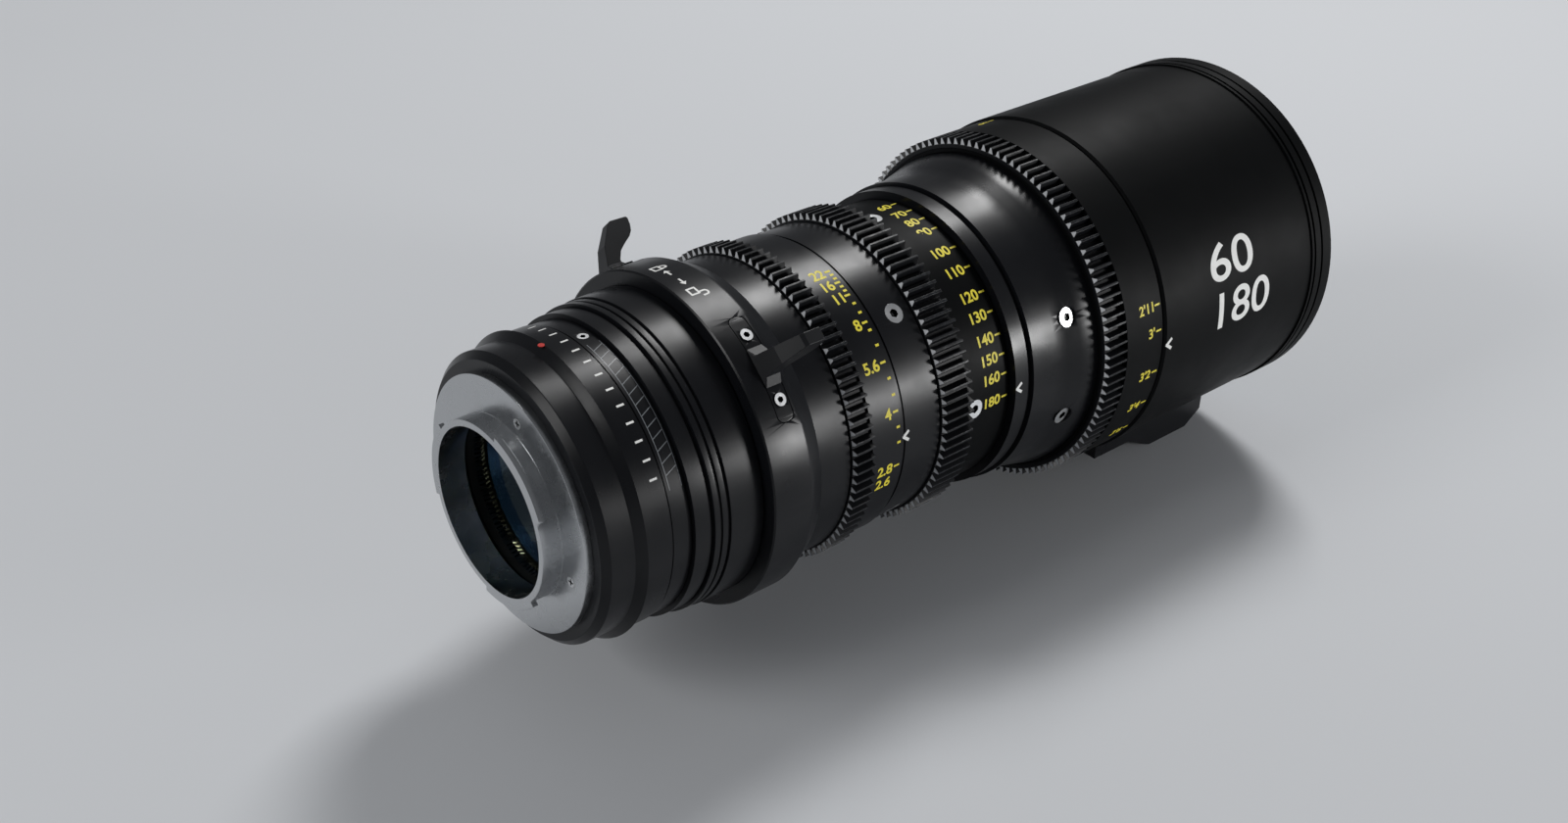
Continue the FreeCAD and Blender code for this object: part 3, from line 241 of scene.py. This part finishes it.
def screw_steel(name, colour, roughness, pitch_mm):
    """Bright screw steel, darkened near black by painted shade in the socket and round the head."""
    material = turned_metal(name, colour, roughness, pitch_mm)
    tree = material.node_tree
    # Painted shade: the less open a spot is to its surroundings, the darker its colour
    openness = add(tree, "AmbientOcclusion", {"Distance": SHADE_REACH_MM * MM}, samples=12)
    unshaded = add(tree, "MapRange", {"Value": openness.outputs["AO"], "From Min": FULL_SHADE,
                                   "From Max": NO_SHADE})
    base = add(tree, "Mix", {0: unshaded.outputs["Result"], 6: linear(DEEP_BLACK), 7: linear(colour)},
               data_type="RGBA")
    tree.links.new(base.outputs[2], tree.nodes["Principled BSDF"].inputs["Base Color"])
    return material


# Enamel: the patches of its uneven gloss, and its pits, drawn coarser than real ones of 0.1 mm
ENAMEL_PATCH_MM = 0.8
ENAMEL_PIT_MM = 0.5
ENAMEL_DEPTH_MM = 0.01
ENAMEL_UNEVEN = 0.1


def painted_mark(name, colour, roughness=0.55):
    """Enamel wiped into an engraving: even colour, a little uneven in its gloss."""
    material, tree, shader = finish(name, colour, roughness)
    where = add(tree, "TexCoord").outputs["Object"]
    gloss = patches(tree, where, ENAMEL_PATCH_MM, detail=2.0)
    uneven_gloss(tree, shader, gloss, roughness - ENAMEL_UNEVEN, roughness + ENAMEL_UNEVEN)
    pits = patches(tree, where, ENAMEL_PIT_MM, detail=1.0)
    relief(tree, shader, pits, ENAMEL_DEPTH_MM, strength=0.4)
    return material


# Optical glass: its index, and its coating's index and thickness
GLASS_IOR = 1.62
COATING_IOR = 1.38
COATING_NM = 420


def coated_glass(name):
    """Polished optical glass under a thin coating that tints its reflections."""
    return finish(name, CLEAR, 0.0, Transmission_Weight=1.0, IOR=GLASS_IOR,
                  Thin_Film_Thickness=COATING_NM, Thin_Film_IOR=COATING_IOR)[0]


# Radii of the rings that carry teeth or marks, in mm

IRIS_TIP = 39.6
ZOOM_TIP = 40.0
FOCUS_TIP = 46.4
IRIS_RING = 38.4
MID_BARREL = 37.8
ZOOM_RING = 37.2
MAIN_BAND = 39.2
FOCUS_RING = 46.4
FRONT_RING = 47.0
LOCK_RING = 41.4
FLARE = 36.8
TICK_RING = 35.8
LADDER_RING = 35.5

# Finishes of the pieces

# Anodised barrels: deep black, with soft broad highlights along the axis
SATIN = anodised("satin black anodised aluminium", BLACK, 0.3, gloss=0.22)
# Front barrel, focus ring and zoom ring, blasted finer: matt, so that they hardly show the lamps
FRONT_SATIN = anodised("fine matt black anodised barrel", DEEP_BLACK, 0.48, FINE_GRAIN_MM, gloss=0.06)
# Finger levers, blasted coarse: dull, with a visible grain
LEVER_BLACK = anodised("blasted black lever", BLACK, 0.45, COARSE_GRAIN_MM)
# Trim and fixed cells round the glass, blackened against stray light: they hardly shine at all
BAFFLE = anodised("matt black baffle finish", DEEP_BLACK, 0.7, COARSE_GRAIN_MM)
# Inner tubes and moving cells, anodised as machined: plain black, duller than the barrels
DARK_INNER = anodised("black anodised inner tube", INNER_BLACK, 0.5)
# Gear teeth: dark flanks between ends made paler by a painted highlight
IRIS_GEAR = gear_anodised("black iris gear teeth", IRIS_TIP)
ZOOM_GEAR = gear_anodised("black zoom gear teeth", ZOOM_TIP)
FOCUS_GEAR = gear_anodised("black focus gear teeth", FOCUS_TIP)
# Bayonets, turned and ground: bright seats with drawn-out highlights
MOUNT_STEEL = turned_metal("ground stainless mount", STEEL, 0.24)
# Screws, turned: bright rings round sockets darkened by painted shade
SCREW_STEEL = screw_steel("bright stainless screw heads", SCREW_BRIGHT, 0.36, SCREW_RING_PITCH_MM)
# Keys of drawn brass: a warm dull yellow
KEY_BRASS = turned_metal("plain brass key", BRASS, 0.34)
# Iris blades, rolled thin and blackened: a dull, nearly flat black
BLADE = anodised("dull black blade steel", BLADE_BLACK, 0.48)
# Polished and coated glass: clear, with tinted reflections
GLASS = coated_glass("coated glass")
# Enamel filled into engravings: flat colour that reads from afar
YELLOW_MARK = painted_mark("yellow enamel in the engraving", YELLOW)
WHITE_MARK = painted_mark("white enamel in the engraving", WHITE)
RED_MARK = painted_mark("red enamel dot", RED)
# Lines cut through the anodising: thin grey metal
GROOVE = painted_mark("fine cut line", GROOVE_GREY, 0.35)

BY_SLOT = {
    "satin_black": SATIN,
    "gear_black": IRIS_GEAR,
    "lever_black": LEVER_BLACK,
    "matt_black_trim": BAFFLE,
    "mount_steel": MOUNT_STEEL,
    "screw_steel": SCREW_STEEL,
    "inner_aluminium": DARK_INNER,
    "brass_key": KEY_BRASS,
    "coated_glass": GLASS,
    "blade_steel": BLADE,
}
BY_NODE = {
    "zoom_gear": ZOOM_GEAR,
    "focus_gear": FOCUS_GEAR,
    "front_barrel": FRONT_SATIN,
    "focus_ring": FRONT_SATIN,
    "zoom_ring": FRONT_SATIN,
}
PLAIN_EDGES = ("coated_glass", "blade_steel")
FINE_EDGES = ("lock_ring", "lever_plates")

# Rounds of the broken edges and how near two points are one, in mm, and how sharp an edge is broken
DEBURRED = 0.12
FINELY_DEBURRED = 0.05
SAME_POINT = 0.002
SHARP_DEGREES = 32


def soften(piece, width_mm):
    """Breaks a piece's sharp edges by a small round, as a deburred part has."""
    weld = piece.modifiers.new("joined edges", "WELD")
    weld.merge_threshold = SAME_POINT * MM
    bevel = piece.modifiers.new("broken edges", "BEVEL")
    bevel.width = width_mm * MM
    bevel.segments = 2
    bevel.limit_method = "ANGLE"
    bevel.angle_limit = math.radians(SHARP_DEGREES)
    bevel.use_clamp_overlap = True
    bevel.harden_normals = False
    shading = piece.modifiers.new("even shading", "WEIGHTED_NORMAL")
    shading.keep_sharp = True


slot_of = {part["node"]: part["material_slot"] for part in frame["record"]["subparts"]}
for node, piece in frame["nodes"].items():
    material = BY_NODE.get(node, BY_SLOT[slot_of[node]])
    for slot in piece.material_slots:
        slot.material = material
    if slot_of[node] not in PLAIN_EDGES:
        fine = slot_of[node] == "screw_steel" or node in FINE_EDGES
        soften(piece, FINELY_DEBURRED if fine else DEBURRED)

# Painted marks, drawn flat and wrapped round a ring. In the drawing, u runs forward along the
# optical axis and v up the ring's side, against its angle. Angles count from the top, clockwise
# from behind.


def at_angle(ring, angle):
    """The drawing's height of an angle on a ring of a radius."""
    return -math.radians(angle) * ring


# The type's cap height as a share of its size, and how much bolder small numbers are cut
CAP_SHARE = 0.729
BOLDER = 0.026


def lettering(text, cap, squeeze=1.0, bolder=BOLDER):
    """The outlines of digits and signs of a cap height in mm, from the drawing's origin."""
    curve = bpy.data.curves.new("lettering", "FONT")
    curve.body = text
    curve.offset = bolder
    holder = bpy.data.objects.new("lettering", curve)
    bpy.context.scene.collection.objects.link(holder)
    drawn = holder.evaluated_get(bpy.context.evaluated_depsgraph_get())
    mesh = bpy.data.meshes.new_from_object(drawn)
    scale = cap / CAP_SHARE
    shapes = []
    for face in mesh.polygons:
        outline = [mesh.vertices[i].co for i in face.vertices]
        shapes.append([(point.x * scale * squeeze, point.y * scale) for point in outline])
    bpy.data.objects.remove(holder)
    bpy.data.meshes.remove(mesh)
    bpy.data.curves.remove(curve)
    return shapes


def moved(shapes, u, v, quarter=False):
    """Shapes moved in the drawing, after a quarter turn where their top points forward."""
    if quarter:
        shapes = [[(y, -x) for x, y in shape] for shape in shapes]
    return [[(x + u, y + v) for x, y in shape] for shape in shapes]


def width_of(shapes):
    """How far shapes reach in u."""
    return max(x for shape in shapes for x, _ in shape)


def bar(u0, u1, v, width):
    """A straight dash along the optical axis."""
    return [[(u0, v - width / 2), (u1, v - width / 2), (u1, v + width / 2), (u0, v + width / 2)]]


# How far each part of a stroke runs over its ends, as a share of its width
OVERRUN = 0.3


def stroke(points, width):
    """A line of a width through points, each part running a little over its ends."""
    shapes = []
    for (x0, y0), (x1, y1) in zip(points, points[1:]):
        length = math.hypot(x1 - x0, y1 - y0)
        ox = -(y1 - y0) / length * width / 2
        oy = (x1 - x0) / length * width / 2
        ex = (x1 - x0) / length * width * OVERRUN
        ey = (y1 - y0) / length * width * OVERRUN
        shapes.append([(x0 + ox - ex, y0 + oy - ey), (x0 - ox - ex, y0 - oy - ey),
                       (x1 - ox + ex, y1 - oy + ey), (x1 + ox + ex, y1 + oy + ey)])
    return shapes


def disc(u, v, size, sides=20):
    """A filled round dot of a radius."""
    turn = 2 * math.pi / sides
    return [[(u + size * math.cos(turn * i), v + size * math.sin(turn * i)) for i in range(sides)]]


def arc(cx, cy, size, start, end, steps=10):
    """Points on an arc, angles in degrees."""
    angles = [math.radians(start + (end - start) * i / steps) for i in range(steps + 1)]
    return [(cx + size * math.cos(a), cy + size * math.sin(a)) for a in angles]


# Marks, in mm: how far they stand proud of a ring and reach into it, their tallest flat facet, and
# how near two points are one
PROUD = 0.03
SUNK = 0.12
FACET = 0.8
JOINED = 0.0005


def height_of(face):
    """How far a face reaches in v."""
    heights = [vert.co.y for vert in face.verts]
    return max(heights) - min(heights)


def wrapped(name, body, ring, material, shapes):
    """One piece of painted shapes on a ring, sunk into it and a little proud of it."""
    made = bmesh.new()
    for shape in shapes:
        made.faces.new([made.verts.new((x, y, 0)) for x, y in shape])
    bmesh.ops.remove_doubles(made, verts=made.verts, dist=JOINED)
    lowest = min(vert.co.y for vert in made.verts)
    highest = max(vert.co.y for vert in made.verts)
    for i in range(1, int((highest - lowest) / FACET)):
        tall = [face for face in made.faces if height_of(face) > FACET]
        if not tall:
            break
        geometry = set(tall)
        for face in tall:
            geometry.update(face.edges)
            geometry.update(face.verts)
        bmesh.ops.bisect_plane(made, geom=list(geometry), plane_co=(0, lowest + i * FACET, 0),
                               plane_no=(0, 1, 0))
    bmesh.ops.recalc_face_normals(made, faces=made.faces)
    raised = bmesh.ops.extrude_face_region(made, geom=list(made.faces))["geom"]
    top = {item for item in raised if isinstance(item, bmesh.types.BMVert)}
    for vert in made.verts:
        angle = -vert.co.y / ring
        level = ring + (PROUD if vert in top else -SUNK)
        vert.co = Vector((level * math.sin(angle), vert.co.x, level * math.cos(angle))) * MM
    bmesh.ops.recalc_face_normals(made, faces=made.faces)
    mesh = bpy.data.meshes.new(name)
    made.to_mesh(mesh)
    made.free()
    mesh.materials.append(material)
    piece = bpy.data.objects.new(name, mesh)
    bpy.context.scene.collection.objects.link(piece)
    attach(piece, body)


def numbers(ring, marks, end, cap, squeeze):
    """Numbers that end at a station, each centred on its angle."""
    shapes = []
    for text, angle in marks:
        drawn = lettering(text, cap, squeeze)
        shapes += moved(drawn, end - width_of(drawn), at_angle(ring, angle) - cap / 2)
    return shapes


def dashes(ring, angles, start, end, width):
    """Short dashes along the axis at angles."""
    shapes = []
    for angle in angles:
        shapes += bar(start, end, at_angle(ring, angle), width)
    return shapes


# An index mark's half width and line, as shares of its length
INDEX_HALF = 0.75
INDEX_LINE = 0.5


def index_mark(station, ring, angle, size):
    """A bent white mark that points back at the ring behind it."""
    v = at_angle(ring, angle)
    half = size * INDEX_HALF
    bend = [(station + size, v + half), (station, v), (station + size, v - half)]
    return stroke(bend, size * INDEX_LINE)


# Scales of the rings: each number with its angle, at rest

IRIS_NUMBERS = [("22", 17.4), ("16", 23.1), ("11", 29.0), ("8", 40.4), ("5.6", 55.4), ("4", 73.1),
                ("2.8", 94.3), ("2.6", 100.0)]
IRIS_TICKS = [angle for _, angle in IRIS_NUMBERS[:-1]]
IRIS_DOTS = [19.3, 21.2, 25.1, 27.0, 32.7, 36.5, 43.5, 49.2, 61.3, 67.2, 79.0, 84.9]
iris_marks = numbers(IRIS_RING, IRIS_NUMBERS, end=80.9, cap=2.8, squeeze=1.0)
iris_marks += dashes(IRIS_RING, IRIS_TICKS, start=81.4, end=83.0, width=0.55)
iris_marks += dashes(IRIS_RING, IRIS_DOTS, start=82.0, end=83.0, width=0.6)
wrapped("iris_scale", "iris_control", IRIS_RING, YELLOW_MARK, iris_marks)

ZOOM_NUMBERS = [("60", -8.0), ("70", 0.5), ("80", 7.6), ("90", 14.5), ("100", 25.5),
                ("110", 34.9), ("120", 45.6), ("130", 53.6), ("140", 62.5), ("150", 70.2),
                ("160", 77.8), ("180", 87.1)]
ZOOM_TICKS = [angle for _, angle in ZOOM_NUMBERS]
zoom_marks = numbers(ZOOM_RING, ZOOM_NUMBERS, end=117.2, cap=2.7, squeeze=1.05)
zoom_marks += dashes(ZOOM_RING, ZOOM_TICKS, start=117.7, end=119.5, width=0.5)
wrapped("zoom_scale", "zoom_control", ZOOM_RING, YELLOW_MARK, zoom_marks)

FOCUS_NUMBERS = [("2'11", 71.6), ("3'", 80.1), ("3'2", 94.7), ("3'4", 107.5), ("3'6", 120.9),
                 ("4'", 147.7), ("4'6", 169.5), ("5'", 186.6), ("6'", 212.2), ("7'", 230.2),
                 ("8'", 243.5), ("10'", 262.2), ("12'", 274.8), ("15'", 287.3), ("20'", 299.7),
                 ("30'", 312.4), ("50'", 322.5), ("∞", 337.6)]
FOCUS_TICKS = [angle for _, angle in FOCUS_NUMBERS]
focus_marks = numbers(FOCUS_RING, FOCUS_NUMBERS, end=163.4, cap=2.6, squeeze=0.98)
focus_marks += dashes(FOCUS_RING, FOCUS_TICKS, start=163.9, end=165.8, width=0.5)
wrapped("focus_scale", "focus_control", FOCUS_RING, YELLOW_MARK, focus_marks)

# Index marks, each just ahead of its ring: name, ring, station, angle and size

INDEX_MARKS = [("iris_index", MID_BARREL, 84.6, 84.6, 1.5),
               ("zoom_index", MAIN_BAND, 121.0, 84.6, 1.5),
               ("focus_index", FRONT_RING, 167.6, 86.1, 1.7)]
for name, ring, station, angle, size in INDEX_MARKS:
    wrapped(name, "lens_barrel", ring, WHITE_MARK, index_mark(station, ring, angle, size))

# Numerals of the zoom range on the front barrel: angle, height and squeeze of each

RANGE_NUMERALS = [("60", 66.6, 10.3, 1.3), ("180", 82.7, 10.4, 1.14)]
RANGE_START = 185.2
RANGE_BOLDER = 0.008
range_marks = []
for text, angle, height, squeeze in RANGE_NUMERALS:
    drawn = lettering(text, height, squeeze, RANGE_BOLDER)
    range_marks += moved(drawn, RANGE_START, at_angle(FRONT_RING, angle) - height / 2)
wrapped("range_numerals", "lens_barrel", FRONT_RING, WHITE_MARK, range_marks)

# Lock ring signs: a closed padlock, an arrow each way and an open padlock, their tops forward

SIGN_START = 46.0
SIGN_LINE = 0.5
SHACKLE_LINE = 0.48
SHACKLE_R = 0.75
SHACKLE_MIDDLE = 2.8
CASE_HALF = 1.1
CASE_HIGH = 2.0
OPEN_SHIFT = 1.5
OPEN_LIFT = 0.5


def padlock(opened):
    """A padlock drawn in lines, its shackle swung aside where it is open."""
    case = [(-CASE_HALF, 0), (CASE_HALF, 0), (CASE_HALF, CASE_HIGH), (-CASE_HALF, CASE_HIGH),
            (-CASE_HALF, 0)]
    shift = OPEN_SHIFT if opened else 0.0
    lift = OPEN_LIFT if opened else 0.0
    shackle = [(SHACKLE_R + shift, CASE_HIGH + lift)]
    shackle += arc(shift, SHACKLE_MIDDLE + lift, SHACKLE_R, 0, 180)
    shackle += [(-SHACKLE_R + shift, CASE_HIGH)]
    return stroke(case, SIGN_LINE) + stroke(shackle, SHACKLE_LINE)


def arrow(side):
    """An arrow to one side."""
    shaft = stroke([(-1.0 * side, 1.4), (0.7 * side, 1.4)], SIGN_LINE)
    head = [[(0.5 * side, 2.3), (0.5 * side, 0.5), (1.7 * side, 1.4)]]
    return shaft + head


LOCK_SIGNS = [(padlock(False), -9.9), (arrow(-1), -4.3), (arrow(1), 2.4), (padlock(True), 8.9)]
lock_marks = []
for shapes, angle in LOCK_SIGNS:
    lock_marks += moved(shapes, SIGN_START, at_angle(LOCK_RING, angle), quarter=True)
wrapped("lock_signs", "lock", LOCK_RING, WHITE_MARK, lock_marks)

# Back-focus ring: white ticks, a red dot on the flare behind them and a ladder of fine cut lines.
# Its angles are in degrees, and its stations and lines in mm.

TICK_FIRST = -20.7
TICK_STEP = 6.9
TICKS = 13
tick_angles = [TICK_FIRST + TICK_STEP * i for i in range(TICKS)]
wrapped("backfocus_ticks", "backfocus", TICK_RING, WHITE_MARK,
        dashes(TICK_RING, tick_angles, start=16.0, end=17.9, width=0.5))
wrapped("alignment_dot", "lens_barrel", FLARE, RED_MARK,
        disc(11.2, at_angle(FLARE, -0.3), size=0.75))

LADDER_ENDS = (20.3, 23.5)
RAIL_LINE = 0.18
RAIL_FIRST = 6
RAIL_STEP = 2
RAIL_POINTS = 32
RUNG_LINE = 0.2
RUNG_FIRST = 10
RUNG_STEP = 4.4
RUNG_SLANT = 1.4
RUNGS = 13
ladder = []
for station in LADDER_ENDS:
    rail = [(station, at_angle(LADDER_RING, RAIL_FIRST + RAIL_STEP * i)) for i in range(RAIL_POINTS)]
    ladder += stroke(rail, RAIL_LINE)
for i in range(RUNGS):
    low = at_angle(LADDER_RING, RUNG_FIRST + RUNG_STEP * i)
    ladder += stroke([(LADDER_ENDS[0], low), (LADDER_ENDS[1], low + RUNG_SLANT)], RUNG_LINE)
wrapped("backfocus_ladder", "backfocus", LADDER_RING, GROOVE, ladder)

# Floor, lamps and world

# How far from the frame's origin the board starts to turn into the backdrop, and has, in m
NEAR = 0.5
FAR = 1.1


def pale_board(name):
    """Plain pale board: it keeps the lens's shadow, and takes the backdrop's colour far off."""
    material, tree, shader = finish(name, FLOOR, 0.9)
    where = add(tree, "TexCoord").outputs["Object"]
    away = add(tree, "VectorMath", {0: where}, operation="LENGTH").outputs["Value"]
    far = add(tree, "MapRange", {"Value": away, "From Min": NEAR, "From Max": FAR})
    seen = add(tree, "LightPath").outputs["Is Camera Ray"]
    share = add(tree, "Math", {0: far.outputs["Result"], 1: seen}, operation="MULTIPLY")
    flat = add(tree, "Emission", {"Color": linear(BACKDROP)})
    board = add(tree, "MixShader", {0: share.outputs[0], 1: shader.outputs[0], 2: flat.outputs[0]})
    tree.links.new(board.outputs[0], tree.nodes["Material Output"].inputs["Surface"])
    return material


FLOOR_HALF = 4.0
FLOOR_LEVEL = -55.3 * MM
floor_corners = [(x * FLOOR_HALF, y * FLOOR_HALF, FLOOR_LEVEL)
                 for x, y in ((-1, -1), (1, -1), (1, 1), (-1, 1))]
floor_mesh = bpy.data.meshes.new("floor")
floor_mesh.from_pydata(floor_corners, [], [(0, 1, 2, 3)])
floor = bpy.data.objects.new("floor", floor_mesh)
bpy.context.scene.collection.objects.link(floor)
floor_mesh.materials.append(pale_board("plain pale floor"))


def softbox(name, centre, target, width, height, power):
    """A soft lamp with a flat rectangular face."""
    lamp = bpy.data.lights.new(name, "AREA")
    lamp.shape = "RECTANGLE"
    lamp.size = width
    lamp.size_y = height
    lamp.energy = power
    holder = bpy.data.objects.new(name, lamp)
    holder.location = centre
    holder.rotation_euler = (Vector(target) - Vector(centre)).to_track_quat("-Z", "Y").to_euler()
    bpy.context.scene.collection.objects.link(holder)


# The softbox overhead gives the long highlight on top of the barrels, the strip the one on their
# right, and the lamp behind the camera shows the gear teeth's ends
MIDDLE = (0, 0.12, 0)
softbox("overhead softbox", (-0.45, 0.95, 1.17), MIDDLE, width=0.4, height=0.42, power=13)
softbox("side strip", (1.02, 0.92, 0.1), MIDDLE, width=0.26, height=0.24, power=8)
softbox("lamp behind the camera", (-0.25, -1.25, 0.75), MIDDLE, width=0.6, height=0.6, power=8)

# The room lights the lens a little, and the camera sees the backdrop's plain colour in its place
ROOM_LIGHT = 0.22
world = bpy.data.worlds.new("studio")
bpy.context.scene.world = world
world.use_nodes = True
sky = world.node_tree
room = sky.nodes["Background"]
room.inputs["Color"].default_value = linear(ROOM)
room.inputs["Strength"].default_value = ROOM_LIGHT
backdrop = add(sky, "Background", {"Color": linear(BACKDROP), "Strength": 1.0})
seen = add(sky, "LightPath").outputs["Is Camera Ray"]
behind = add(sky, "MixShader", {0: seen, 1: room.outputs[0], 2: backdrop.outputs[0]})
sky.links.new(behind.outputs[0], sky.nodes["World Output"].inputs["Surface"])

# Camera, as fitted to the ring edges: its place in m, its axes, and its lens and sensor in mm

CAMERA_PLACE = (0.29108, -0.17315, 0.23573)
CAMERA_RIGHT = (0.6439059, 0.7646492, 0.0263932)
CAMERA_UP = (-0.4210880, 0.3253718, 0.8466510)
CAMERA_BACK = (0.6388034, -0.5562776, 0.5314935)
FOCAL_LENGTH = 42.42
SENSOR_WIDE = 36
lens = bpy.data.cameras.new("camera")
lens.lens = FOCAL_LENGTH
lens.sensor_width = SENSOR_WIDE
lens.clip_start = 0.01
camera = bpy.data.objects.new("camera", lens)
turned = Matrix((CAMERA_RIGHT, CAMERA_UP, CAMERA_BACK)).transposed().to_4x4()
camera.matrix_world = Matrix.Translation(CAMERA_PLACE) @ turned
bpy.context.scene.collection.objects.link(camera)
bpy.context.scene.camera = camera
bpy.context.scene.view_settings.view_transform = "Standard"
